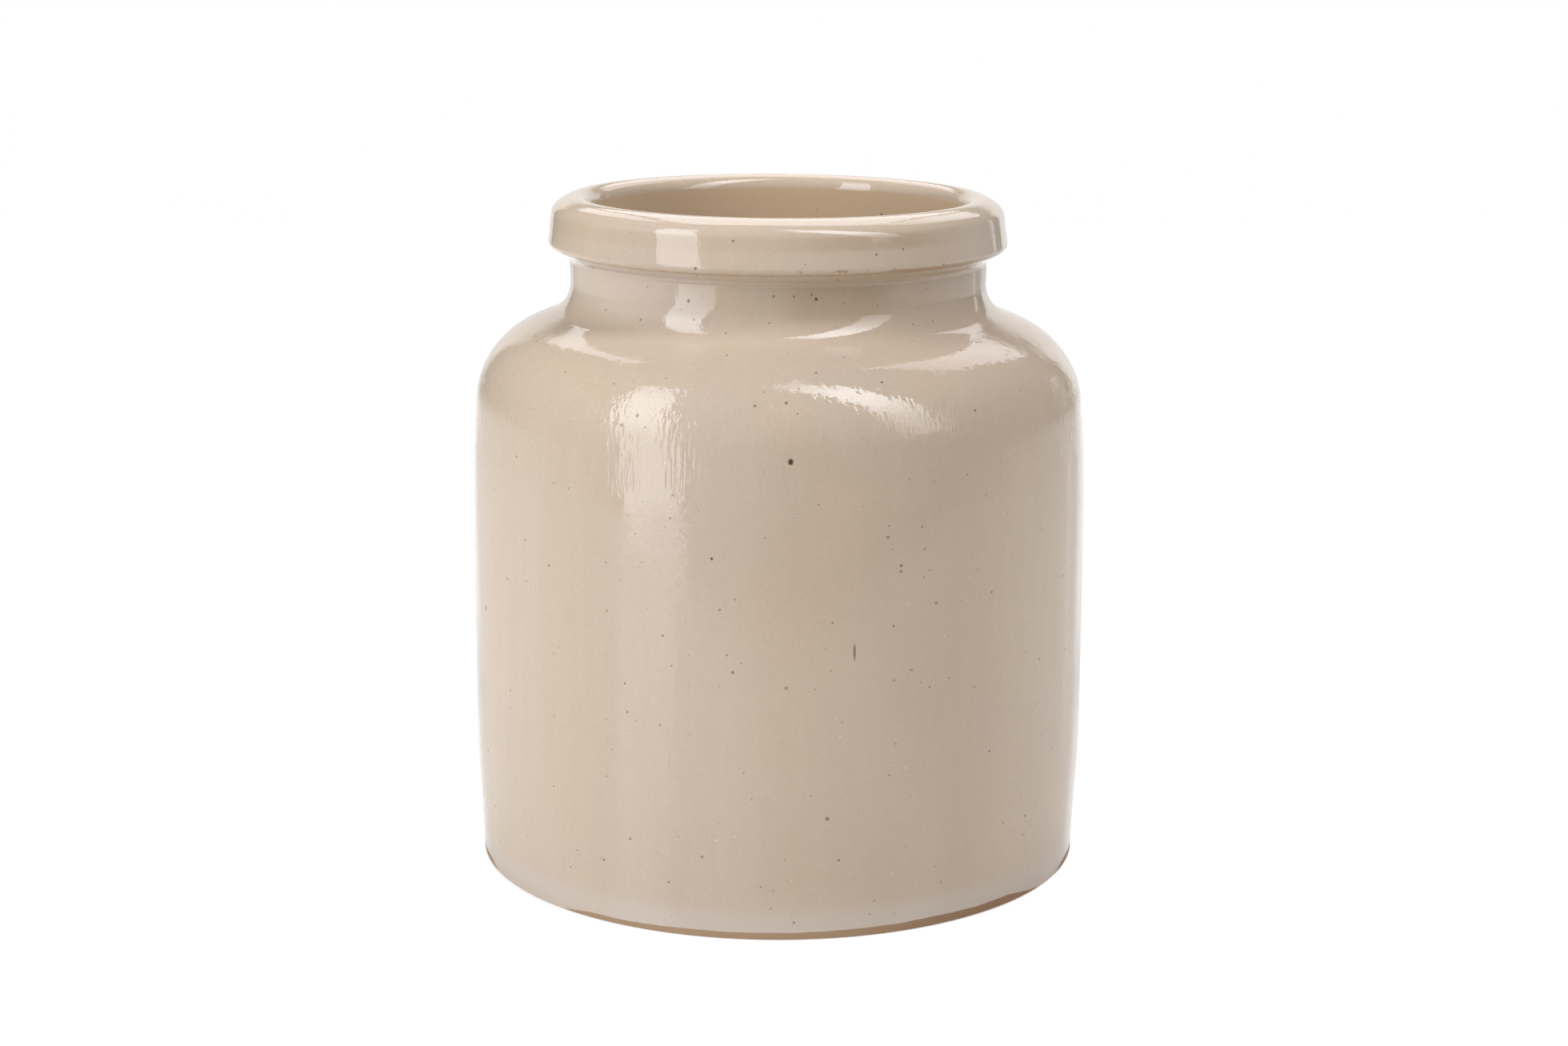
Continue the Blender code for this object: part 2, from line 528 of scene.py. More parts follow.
@dataclass(frozen=True)
class ThrowingFaults:
    """How the pot is out of true: a lean that changes up the wall, and a dip to the right.

    The lean is a cubic in the height: its parts give millimetres for a height in decimetres. The
    dip is an angle that grows with the square of the height up to dip_height. The lattice
    reaches from low to high and as far as reach to each side, in millimetres.
    """

    lean: tuple[float, float, float] = (0.4505, -0.1844, -0.1055)
    dip: float = math.radians(0.326)
    dip_height: float = 125.0
    levels: int = 12
    low: float = -4.0
    high: float = 168.0
    reach: float = 80.0

    def give(self, piece: bpy.types.Object) -> None:
        """Pushes a turned piece out of true with a lattice.

        Args:
            piece: The piece, still true, at the origin.
        """
        middle = (self.low + self.high) / 2 * MM
        width, tall = 2 * self.reach, self.high - self.low
        bpy.ops.object.select_all(action="DESELECT")
        bpy.ops.object.add(type="LATTICE", location=(0.0, 0.0, middle))
        cage = bpy.context.object
        cage.scale = Vector((width, width, tall)) * MM
        cage.data.points_u, cage.data.points_v, cage.data.points_w = 2, 2, self.levels
        cage.data.interpolation_type_u = cage.data.interpolation_type_v = "KEY_LINEAR"
        cage.data.interpolation_type_w = "KEY_CATMULL_ROM"
        for point in cage.data.points:
            side = math.copysign(self.reach, point.co.x)
            height = self.low + (point.co.z + 0.5) * tall
            lean, dip = self._lean_at(height), self._dip_at(side, height)
            point.co_deform = point.co + Vector((lean / width, 0.0, dip / tall))
        bpy.context.view_layer.update()
        bpy.context.view_layer.objects.active = piece
        modifier = piece.modifiers.new("out_of_true", "LATTICE")
        modifier.object = cage
        bpy.ops.object.modifier_apply(modifier=modifier.name)
        bpy.data.objects.remove(cage)

    def _lean_at(self, height: float) -> float:
        """The sideways shift at a height, in millimetres."""
        share = max(height, 0.0) / DECIMETRE
        return sum(part * share ** (power + 1) for power, part in enumerate(self.lean))

    def _dip_at(self, side: float, height: float) -> float:
        """The drop of a point at a side, in millimetres."""
        share = min(max(height, 0.0) / self.dip_height, 1.0)
        return -self.dip * side * share**2


@dataclass(frozen=True)
class Mark:
    """One iron fleck at its own place in the glaze, in millimetres.

    Its edge fades between two shares of its width.
    """

    place: tuple[float, float, float]
    half_width: float
    half_height: float
    strength: float
    edge: Pair = (1.25, 0.6)

    def mask(self, nodes: Nodes) -> Signal:
        """How much of the fleck's colour there is."""
        near = nodes.distance_to(self.place, self.half_width / self.half_height)
        return (near / self.half_width).rise(*self.edge) * self.strength


FLECKS = (
    Mark((2.9, -73.7, 111.2), 0.62, 0.72, 0.95),
    Mark((17.2, -73.0, 67.9), 0.34, 2.10, 0.62),
    Mark((11.3, -74.1, 29.3), 0.50, 0.50, 0.62),
    Mark((-69.6, -27.3, 66.0), 0.50, 0.70, 0.70),
    Mark((-20.3, -46.2, 142.6), 0.42, 0.50, 0.85),
    Mark((8.6, -49.7, 143.5), 0.36, 0.45, 0.95),
    Mark((7.6, -49.9, 144.5), 0.30, 0.30, 0.70),
    Mark((-31.0, -64.8, 119.8), 0.42, 0.45, 0.75),
    Mark((-34.6, -64.0, 117.5), 0.38, 0.40, 0.65),
    Mark((1.9, -69.8, 123.6), 0.42, 0.42, 0.60),
    Mark((-9.9, -74.2, 63.5), 0.42, 0.42, 0.60),
    Mark((2.0, -74.9, 60.1), 0.42, 0.42, 0.50),
    Mark((-39.6, -31.3, 138.2), 0.40, 0.40, 0.70),
    Mark((23.1, -62.7, 127.1), 0.38, 0.38, 0.75),
    Mark((27.5, -69.7, 86.9), 0.40, 0.34, 0.70),
    Mark((-39.5, -39.3, 153.2), 0.40, 0.50, 0.50),
    Mark((-14.5, -73.4, 89.3), 0.34, 0.34, 0.85),
    Mark((30.1, -68.7, 62.6), 0.50, 0.36, 0.35),
    Mark((35.6, -66.0, 77.4), 0.42, 0.36, 0.50),
    Mark((-18.4, -52.2, 150.8), 0.40, 0.40, 0.75),
    Mark((3.6, -50.3, 144.2), 0.30, 0.30, 0.55),
    Mark((-3.7, -55.2, 154.9), 0.36, 0.36, 0.50),
    Mark((24.5, -70.7, 93.6), 0.50, 0.36, 0.45),
    Mark((27.5, -69.7, 85.6), 0.34, 0.34, 0.55),
    Mark((-17.0, -72.7, 19.7), 0.42, 0.42, 0.45),
    Mark((-39.9, -62.8, 15.4), 0.40, 0.40, 0.50),
)


@dataclass(frozen=True)
class Specks:
    """Fine round specks all over the glaze.

    There are so many cells to a metre, each with one speck or none. The radii least and most are
    in cells, and share is how many of the cells have a speck.
    """

    cells: float
    least: float
    most: float
    share: float
    strength: float
    shift: tuple[float, float, float] = (0.0, 0.0, 0.0)

    def mask(self, nodes: Nodes) -> Signal:
        """How much of the specks' colour there is."""
        place = nodes.stretched((self.cells,) * 3, self.shift)
        return nodes.dots(place, self.least, self.most, self.share) * self.strength


@dataclass(frozen=True)
class Patch:
    """A soft-edged patch that is painted darker or paler, in millimetres.

    Most patches are painted shade or painted light, standing in for what the lamps alone don't
    give; one is the paler thick glaze at the foot. It is full over a pair of heights and fades out
    over a soft margin outside them. Across the jar it fades in from the left over one pair of x and
    out to the right over another, and from the back it fades in over a pair of y. A side whose pair
    is left out is open.
    """

    strength: float
    heights: Pair
    soft: float
    from_left: Pair | None = None
    to_right: Pair | None = None
    from_back: Pair | None = None
    elsewhere: float = 0.0

    def mask(self, nodes: Nodes) -> Signal:
        """How much of its colour there is: its strength, or elsewhere outside its pairs of x."""
        x, y, z = nodes.axes
        across: Signal | float = 1.0
        if self.from_left:
            across = x.rise(*self.from_left) * across
        if self.to_right:
            across = x.rise(self.to_right[1], self.to_right[0]) * across
        near = y.rise(*self.from_back) if self.from_back else 1.0
        strength = across * (self.strength - self.elsewhere) + self.elsewhere
        return z.band(*self.heights, self.soft) * strength * near


def strongest(parts: Sequence[Mark | Specks | Patch], nodes: Nodes) -> Signal:
    """The greatest of the masks of some marks, specks or patches."""
    first, *others = (part.mask(nodes) for part in parts)
    for other in others:
        first = first.most(other)
    return first


FRONT: Pair = (0.0, -20.0)
FRONT_SOON: Pair = (0.0, -12.0)

# Painted shade on the glaze, where the lamps alone leave it too bright.
PAINTED_SHADE = (
    # Painted shade under the collar, at the right.
    Patch(0.35, (147.3, 149.6), 0.4, from_left=(0.0, 28.0)),
    # Painted shade on the neck, right of the middle.
    Patch(0.4, (139.5, 147.0), 2.0, (-2.0, 6.0), (20.0, 28.0), FRONT),
    # Painted shade at the top of the collar's face, most of all right of the middle.
    Patch(0.55, (155.4, 157.3), 1.4, (-5.0, 20.0), (28.0, 38.0), (20.0, -10.0), elsewhere=0.2),
    # Painted shade in the crease between neck and collar.
    Patch(0.5, (146.6, 146.8), 0.2, (-30.0, -24.0), (28.0, 34.0), FRONT),
    # Painted shade on the wall, right of the middle.
    Patch(0.2, (14.0, 112.0), 12.0, (-14.0, 4.0), (38.0, 56.0), FRONT),
)
# Painted light on the glaze, and the paler thick glaze that has run down to the foot.
PAINTED_LIGHT_AND_POOLING = (
    # Painted light and reflection on the neck's left and right sides.
    Patch(0.35, (138.5, 146.0), 0.8, to_right=(-24.0, -12.0), from_back=FRONT_SOON),
    Patch(0.2, (138.5, 146.0), 0.8, from_left=(26.0, 38.0), from_back=FRONT_SOON),
    # Painted light under the collar, at the left.
    Patch(0.6, (147.2, 148.8), 0.8, to_right=(-24.0, -10.0), from_back=FRONT_SOON),
    # Painted light on the right end of the collar's face.
    Patch(0.5, (151.0, 157.0), 2.0, from_left=(34.0, 46.0), from_back=FRONT_SOON),
    # The thick glaze that has run down to the foot, all round.
    Patch(0.65, (2.0, 4.5), 4.5),
)


@dataclass(frozen=True)
class WornEdge:
    """Where the glaze breaks to brown along the collar's sharp lower edge, in millimetres."""

    radii: Pair = (53.5, 54.2)
    front: Pair = (5.0, -8.0)
    wander: float = 0.8
    line: Band = (149.2, 149.5, 0.25)
    line_least: float = 0.25
    line_most: float = 0.5
    line_crumbs: Pair = (0.35, 0.6)
    broad: Band = (149.1, 149.9, 0.3)
    broad_x: Band = (27.0, 50.0, 6.0)
    broad_strength: float = 0.55
    spots: Band = (149.9, 150.4, 0.3)
    spots_x: Band = (4.0, 27.0, 2.0)
    spots_crumbs: Pair = (0.58, 0.66)
    spots_strength: float = 0.8

    def mask(self, nodes: Nodes) -> Signal:
        """How bare the edge is: a thin line all round, a broad stretch at the right and spots."""
        x, y, z = nodes.axes
        front = y.rise(*self.front)
        crumbs = nodes.noise(nodes.stretched((420.0, 420.0, 300.0), (2.2, 0.0, 4.1)))
        uneven = nodes.noise(nodes.stretched((60.0, 60.0, 60.0), (7.0, 1.0, 2.0)), detail=3.0)
        level = z - (uneven - 0.5) * self.wander
        crumbled = crumbs.rise(*self.line_crumbs) * (self.line_most - self.line_least)
        line = level.band(*self.line) * (self.line_least + crumbled)
        broad = level.band(*self.broad) * x.band(*self.broad_x) * front
        spots = z.band(*self.spots) * x.band(*self.spots_x) * front
        spots = spots * crumbs.rise(*self.spots_crumbs)
        worn = line.most(broad * self.broad_strength).most(spots * self.spots_strength)
        return worn * nodes.radius.rise(*self.radii)


@dataclass(frozen=True)
class GlazeLine:
    """The uneven line along which the coat ends over the bare foot, in millimetres."""

    height: float = 1.5
    ragged: float = 0.7
    front: Pair = (-22.0, -34.0)
    right: Pair = (8.0, 36.0)
    right_rise: float = 0.45
    left: Pair = (-12.0, -34.0)
    left_drop: float = 0.3
    left_end: Pair = (-40.0, -60.0)
    right_end: Pair = (53.0, 66.0)
    ends_drop: float = 2.4
    half_edge: float = 0.06

    def bare(self, nodes: Nodes) -> Signal:
        """One below the line and 0 above it."""
        x, y, z = nodes.axes
        ragged = nodes.noise(nodes.stretched((95.0, 95.0, 20.0), (1.9, 0.3, 0.0)), detail=3.0)
        sides = x.rise(*self.right) * self.right_rise - x.rise(*self.left) * self.left_drop
        ends = x.rise(*self.left_end).most(x.rise(*self.right_end)) * self.ends_drop
        height = self.height + ragged * self.ragged + (sides - ends) * y.rise(*self.front)
        return (height - z).rise(-self.half_edge, self.half_edge)


@dataclass(frozen=True)
class Unevenness:
    """The unevenness that breaks up the edges of the glaze's reflections.

    Depths are in metres, and the bands of heights, each with its soft margin, in millimetres.
    """

    rings: float = 0.000025
    waves: float = 0.00005
    skin: float = 0.00003
    hairs: float = 0.00008
    combed: Band = (106.0, 119.0, 5.0)
    combed_least: float = 0.15
    shoulder: Band = (119.0, 129.0, 3.0)
    shoulder_more: float = 0.9
    neck: Pair = (131.0, 134.0)
    neck_less: float = 0.6

    def slope(self, nodes: Nodes) -> bpy.types.NodeSocket:
        """The glaze's normal: rings, waves, a fine skin, and hairs, deepest below the shoulder."""
        _, _, z = nodes.axes
        rings = nodes.noise(nodes.stretched((10.0, 10.0, 190.0)), detail=1.0)
        waves = nodes.noise(nodes.stretched((420.0, 420.0, 420.0)), detail=1.0) - 0.5
        skin = nodes.noise(nodes.stretched((1400.0, 1400.0, 1400.0)), detail=1.0) - 0.5
        hairs = nodes.noise(nodes.stretched((1300.0, 1300.0, 70.0)), detail=1.0) - 0.5
        combed = self.combed_least + z.band(*self.combed) * (1.0 - self.combed_least)
        neck = z.rise(*self.neck) * self.neck_less
        shoulder = 1.0 + z.band(*self.shoulder) * self.shoulder_more
        slope = nodes.bump(rings, self.rings)
        slope = nodes.bump(waves * (shoulder - neck), self.waves, slope)
        slope = nodes.bump(skin * (1.0 - neck), self.skin, slope)
        return nodes.bump(hairs * combed, self.hairs, slope)


@dataclass(frozen=True)
class GlazeFinish:
    """Glossy beige stoneware glaze: softly mottled, speckled with iron, thin on sharp edges.

    The clay below its line is darker at the right, over a pair of x. The glaze carries patches of
    painted shade and painted light, and a paler band of thick glaze at the foot.
    """

    name: str = "speckled_beige_glaze"
    warm: Colour = from_hex("CEBBA3")
    cool: Colour = from_hex("CDBAA5")
    # The paler colour of thick glaze at the foot, also laid as painted light.
    thick_glaze_and_painted_light: Colour = from_hex("D0C3B5")
    inside: Colour = from_hex("D0B898")
    shade: Colour = from_hex("B7A083")
    bare: Colour = from_hex("A5855A")
    foot: Colour = from_hex("AB8E6D")
    foot_dark: Colour = from_hex("9E7C5B")
    fleck: Colour = from_hex("4A3825")
    pinhole: Colour = from_hex("EFE6DA")
    roughness: float = 0.02
    clay_rougher: float = 0.5
    refraction: float = 1.47
    darkest: float = 0.885
    clouds: float = 0.04
    runs: float = 0.06
    grain: float = 0.13
    foot_darkening: Pair = (5.0, 50.0)
    specks: tuple[Specks, ...] = (
        Specks(cells=300.0, least=0.045, most=0.11, share=0.95, strength=0.6),
        Specks(cells=620.0, least=0.05, most=0.13, share=0.5, strength=0.28, shift=(5.2, 1.7, 3.3)),
    )
    pinholes: Specks = Specks(
        cells=230.0, least=0.03, most=0.06, share=0.7, strength=0.5, shift=(0.4, 0.9, 0.2)
    )
    flecks: tuple[Mark, ...] = FLECKS
    darker: tuple[Patch, ...] = PAINTED_SHADE
    paler: tuple[Patch, ...] = PAINTED_LIGHT_AND_POOLING
    worn_edge: WornEdge = WornEdge()
    line: GlazeLine = GlazeLine()
    unevenness: Unevenness = Unevenness()

    def make(self) -> bpy.types.Material:
        """Makes the material."""
        material, nodes = new_material(self.name)
        x, _, _ = nodes.axes
        foot = self.line.bare(nodes)
        clay = nodes.colours(x.rise(*self.foot_darkening), self.foot, self.foot_dark)
        shader = nodes.add(
            "ShaderNodeBsdfPrincipled",
            inputs={
                "Base Color": nodes.colours(foot, self._colour(nodes), clay),
                "Roughness": self.roughness + foot * self.clay_rougher,
                "IOR": self.refraction,
                "Normal": self.unevenness.slope(nodes),
            },
        )
        nodes.finish(shader)
        return material

    def _colour(self, nodes: Nodes) -> bpy.types.NodeSocket:
        """The glaze's colour, from its mottle to its flecks."""
        within = self._within(nodes)
        outside = 1.0 - within
        # Painted shade, and painted light together with the pale pooled glaze at the foot.
        darker = strongest(self.darker, nodes) * outside
        paler = strongest(self.paler, nodes) * outside
        iron = strongest((*self.specks, *self.flecks), nodes)
        colour = nodes.colours(within, self._mottled(nodes), self.inside)
        colour = nodes.colours(darker, colour, self.shade)
        colour = nodes.colours(paler, colour, self.thick_glaze_and_painted_light)
        colour = nodes.colours(self.worn_edge.mask(nodes), colour, self.bare)
        colour = nodes.colours(self.pinholes.mask(nodes), colour, self.pinhole)
        return nodes.colours(iron, colour, self.fleck)

    def _within(self, nodes: Nodes) -> Signal:
        """Where the glaze lines the inside: in the mouth, and under the shoulder and the wall."""
        _, _, z = nodes.axes
        mouth = nodes.radius.rise(47.2, 46.0) * z.rise(158.8, 158.2)
        shoulder = (z + nodes.radius * 0.43).rise(152.0, 151.1)
        wall = nodes.radius.rise(71.5, 70.5)
        return mouth.most(shoulder * wall)

    def _mottled(self, nodes: Nodes) -> bpy.types.NodeSocket:
        """The glaze's own colour with its soft clouds, its runs and its grain."""
        cloud = nodes.noise(nodes.stretched((30.0, 30.0, 22.0)))
        runs = nodes.noise(nodes.stretched((330.0, 330.0, 22.0), (3.1, 7.7, 1.3)))
        grain = nodes.noise(nodes.stretched((1100.0, 1100.0, 1100.0)), roughness=0.6)
        colour = nodes.colours(cloud.rise(0.3, 0.7), self.cool, self.warm)
        shade = self.darkest + grain * self.grain + runs * self.runs + cloud * self.clouds
        even = nodes.add("ShaderNodeCombineColor", inputs={0: shade, 1: shade, 2: shade})
        return nodes.colours(1.0, colour, even.outputs[0], Blend.MULTIPLY)


@dataclass(frozen=True)
class ClayFinish:
    """Bare fired clay: tan-brown, gritty, with painted shade where it meets the table."""

    name: str = "bare_fired_clay"
    tan: Colour = from_hex("B2926F")
    brown: Colour = from_hex("A38363")
    dark: Colour = from_hex("6B5946")
    roughness: float = 0.75
    contact_shade: Pair = (0.45, 0.1)
    contact_shade_strength: float = 0.3
    grit_strength: float = 0.25
    grit_depth: float = 0.00008

    def make(self) -> bpy.types.Material:
        """Makes the material."""
        material, nodes = new_material(self.name)
        _, _, z = nodes.axes
        cloud = nodes.noise(nodes.stretched((90.0, 90.0, 300.0)), detail=3.0)
        grit = nodes.noise(nodes.stretched((2600.0, 2600.0, 2600.0)))
        # Painted shade along the bottom edge, where the foot meets the table.
        contact_shade = z.rise(*self.contact_shade) * self.contact_shade_strength
        dark_grit = grit.rise(0.55, 0.75) * self.grit_strength
        colour = nodes.colours(cloud.rise(0.38, 0.62), self.tan, self.brown)
        colour = nodes.colours(contact_shade, colour, self.dark)
        colour = nodes.colours(dark_grit, colour, self.dark)
        shader = nodes.add(
            "ShaderNodeBsdfPrincipled",
            inputs={
                "Base Color": colour,
                "Roughness": self.roughness,
                "Normal": nodes.bump(grit, self.grit_depth),
            },
        )
        nodes.finish(shader)
        return material


class Dressing:
    """Last steps that pieces share."""

    crease: float = math.radians(50.0)

    @classmethod
    def finish(
        cls, piece: bpy.types.Object, faults: ThrowingFaults, material: bpy.types.Material
    ) -> None:
        """Pushes a turned piece out of true, smooths it and gives it its material.

        Args:
            piece: The piece, still true.
            faults: How it is out of true.
            material: What it is made of.
        """
        faults.give(piece)
        bpy.ops.object.select_all(action="DESELECT")
        piece.select_set(True)
        bpy.context.view_layer.objects.active = piece
        bpy.ops.object.shade_smooth_by_angle(angle=cls.crease)
        piece.data.materials.append(material)

    @staticmethod
    def hand_over(piece: bpy.types.Object, node: str, slot: str) -> None:
        """Lets a piece ride on the body in a node's place.

        Args:
            piece: The finished piece.
            node: The CAD node that it stands for.
            slot: The record's material slot. It is not used.
        """
        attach(piece, "root")
        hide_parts(node)
        LOG.info("%s stands for %s, with %d faces", piece.name, node, len(piece.data.polygons))


@dataclass
class GlazeCoat:
    """The glass skin: one coat over the outside, the collar, the inside and the floor.

    Its thickness is in millimetres, and its hidden side is turned in coarser steps.
    """

    outside: tuple[Corner, ...] = (
        Corner(73.66, 0.25),
        Corner(73.76, 3.6, 9.1),
        Corner(75.02, 25.9, 195.0),
        Corner(74.83, 99.81, 239.0),
        Corner(72.40, 126.10, 21.5),
        Corner(50.05, 135.45, 8.4),
        Corner(50.38, 146.2, 0.4),
        Corner(50.75, 147.35, 1.2),
        Corner(55.45, 149.95, 1.7),
        Corner(54.3, 158.3, 3.2),
        Corner(53.05, 159.95, 5.0),
        Corner(50.0, 161.5, 8.0),
        Corner(45.02, 161.9, 4.6),
        Corner(45.02, 131.3, 6.0),
    )
    inside: tuple[Corner, ...] = (
        Corner(66.74, 121.99, 15.5),
        Corner(68.85, 99.60, 230.0),
        Corner(69.05, 26.20, 189.0),
        Corner(67.90, 8.50, 14.0),
        Corner(0.0, 8.5),
    )
    thickness: float = 0.28
    hidden_arc: float = math.radians(15.0)
    hidden_step: float = 12.0

    def make(
        self, wheel: Wheel, faults: ThrowingFaults, material: bpy.types.Material
    ) -> bpy.types.Object:
        """Turns the coat and dresses it.

        Args:
            wheel: What turns it.
            faults: How it is out of true.
            material: Its glaze.

        Returns:
            The piece.
        """
        corners = self.outside + self.inside
        shown = Outline(corners).points()
        hidden = Outline(corners, self.hidden_arc, self.hidden_step).points(self.thickness)
        piece = wheel.turn("glaze_skin", [*reversed(hidden), *shown])
        Dressing.finish(piece, faults, material)
        return piece


@dataclass
class ClayBody:
    """The fired clay: bare at the foot and under the base, and backing the glaze all over.

    The depth is how far it lies under the glaze's surface, in millimetres.
    """

    foot: tuple[Corner, ...] = (
        Corner(0.0, 1.4),
        Corner(61.0, 1.4, 1.2),
        Corner(64.0, 0.0, 1.2),
        Corner(73.62, 0.0, 0.6),
        Corner(73.52, 3.6, 9.0),
    )
    depth: float = 0.34
    hidden_arc: float = math.radians(12.0)
    hidden_step: float = 8.0
    foot_step: float = 6.0

    def make(
        self,
        coat: GlazeCoat,
        wheel: Wheel,
        faults: ThrowingFaults,
        material: bpy.types.Material,
    ) -> bpy.types.Object:
        """Turns the clay and dresses it.

        Args:
            coat: The glaze that lies on it.
            wheel: What turns it.
            faults: How it is out of true.
            material: Its bare clay.

        Returns:
            The piece.
        """
        corners = coat.outside[1:] + coat.inside
        under = Outline(corners, self.hidden_arc, self.hidden_step).points(self.depth)
        low = Outline(self.foot, longest_step=self.foot_step).points()
        piece = wheel.turn("clay_jar", [*low[:-1], *under])
        Dressing.finish(piece, faults, material)
        return piece


@dataclass(frozen=True)
class Softbox:
    """A flat studio lamp, in metres. It faces its target, which is the jar unless one is given.

    The glow is the brightness of its face along its length, as (share of the length from its
    lower end, brightness) pairs, because a softbox is brightest in front of its bulb. The tint
    is the colour of its light.
    """

    name: str
    middle: tuple[float, float, float]
    up: tuple[float, float, float]
    width: float
    length: float
    glow: tuple[tuple[float, float], ...]
    target: tuple[float, float, float] = (0.0, 0.0, 0.11)
    tint: Colour = (1.0, 1.0, 1.05)

    def make(self) -> bpy.types.Object:
        """Hangs the lamp."""
        brightest = max(brightness for _, brightness in self.glow)
        light = bpy.data.lights.new(self.name, "AREA")
        light.shape = "RECTANGLE"
        light.size, light.size_y = self.width, self.length
        light.energy = brightest * self.width * self.length * math.pi
        light.color = self.tint
        self._shade(light, brightest)
        lamp = bpy.data.objects.new(self.name, light)
        bpy.context.scene.collection.objects.link(lamp)
        along = Vector(self.up).normalized()
        out = Vector(self.middle) - Vector(self.target)
        away = (out - along * out.dot(along)).normalized()
        across = along.cross(away)
        facing = Matrix((across, along, away)).transposed().to_4x4()
        lamp.matrix_world = Matrix.Translation(Vector(self.middle)) @ facing
        lamp.visible_camera = False
        return lamp

    def _shade(self, light: bpy.types.Light, brightest: float) -> None:
        """Gives the lamp's face its change of brightness along its length."""
        light.use_nodes = True
        nodes = Nodes(light.node_tree)
        where = nodes.add("ShaderNodeNewGeometry")
        split = nodes.add("ShaderNodeSeparateXYZ", inputs={0: where.outputs["Parametric"]})
        stops = [(place, grey(brightness / brightest)) for place, brightness in self.glow]
        ramp = nodes.add(
            "ShaderNodeValToRGB", settings={"stops": stops}, inputs={"Fac": split.outputs[1]}
        )
        glow = nodes.add(
            "ShaderNodeEmission", inputs={"Color": ramp.outputs["Color"], "Strength": 1.0}
        )
        nodes.finish(glow, "ShaderNodeOutputLight")


LAMPS = (
    Softbox(
        "left_strip",
        middle=(-0.804, -0.539, 0.7375),
        up=(-0.105, 0.240, 0.965),
        width=0.385,
        length=2.15,
        glow=(
            (0.0, 1.4),
            (0.05, 1.6),
            (0.1, 2.4),
            (0.144, 4.1),
            (0.265, 3.9),
            (0.361, 5.7),
            (0.443, 6.9),
            (0.578, 6.6),
            (0.723, 5.8),
            (0.80, 4.9),
            (1.0, 4.4),
        ),
        tint=(1.0, 1.02, 1.08),
    ),
    Softbox(
        "right_softbox",
        middle=(0.432, -0.411, 1.125),
        up=(-0.442, 0.190, 0.877),
        width=0.288,
        length=1.86,
        glow=(
            (0.0, 1.6),
            (0.06, 2.4),
            (0.226, 4.1),
            (0.328, 6.6),
            (0.435, 9.2),
            (0.60, 9.2),
            (0.76, 6.0),
            (0.87, 3.6),
            (1.0, 1.8),
        ),
    ),
    Softbox(
        "back_softbox_left",
        middle=(-0.400, 0.697, 0.831),
        up=(0.0, -0.766, 0.643),
        width=0.13,
        length=0.64,
        glow=((0.0, 1.7), (1.0, 2.0)),
        target=(-0.400, 0.0, 0.11),
    ),
    Softbox(
        "back_softbox_middle",
        middle=(0.008, 0.654, 0.867),
        up=(0.0, -0.766, 0.643),
        width=0.615,
        length=0.76,
        glow=((0.0, 2.3), (0.5, 2.6), (1.0, 3.4)),
        target=(0.008, 0.0, 0.11),
    ),
    Softbox(
        "back_softbox_right",
        middle=(0.505, 0.643, 0.876),
        up=(-0.07, -0.764, 0.641),
        width=0.34,
        length=0.72,
        glow=((0.0, 1.7), (0.3, 2.1), (0.7, 2.1), (1.0, 1.8)),
        target=(0.505, 0.0, 0.11),
    ),
    Softbox(
        "left_fill",
        middle=(-1.2, -0.1, 0.5),
        up=(0.0, 0.0, 1.0),
        width=1.0,
        length=1.0,
        glow=((0.0, 0.28), (1.0, 0.28)),
    ),
    Softbox(
        "right_window",
        middle=(1.2, 1.2, 0.27),
        up=(0.0, 0.0, 1.0),
        width=0.11,
        length=0.5,
        glow=((0.0, 1.1), (1.0, 1.1)),
        target=(0.0, 0.0, 0.27),
    ),
)


def stand_panel(name: str, placed: Matrix, material: bpy.types.Material) -> None:
    """Adds a flat rectangle to the stage.

    Args:
        name: Its name.
        placed: What takes a square of one metre to its size and place.
        material: Its material.
    """
    bpy.ops.object.select_all(action="DESELECT")
    bpy.ops.mesh.primitive_plane_add(size=1.0, location=(0.0, 0.0, 0.0))
    panel = bpy.context.object
    panel.name = name
    panel.matrix_world = placed
    bpy.ops.object.transform_apply(location=True, rotation=True, scale=True)
    panel.data.materials.append(material)


@dataclass(frozen=True)
class Room:
    """A white room for the camera, and a dim one for the jar."""

    dim: float = 0.077

    def make(self) -> None:
        """Sets the world's background."""
        world = bpy.data.worlds.new("room")
        bpy.context.scene.world = world
        world.use_nodes = True
        nodes = Nodes(world.node_tree)
        dim, white = (
            nodes.add(
                "ShaderNodeBackground", inputs={"Color": opaque(grey(1.0)), "Strength": strength}
            )
            for strength in (self.dim, 1.0)
        )
        nodes.finish(nodes.by_ray(camera=white, others=dim), "ShaderNodeOutputWorld")


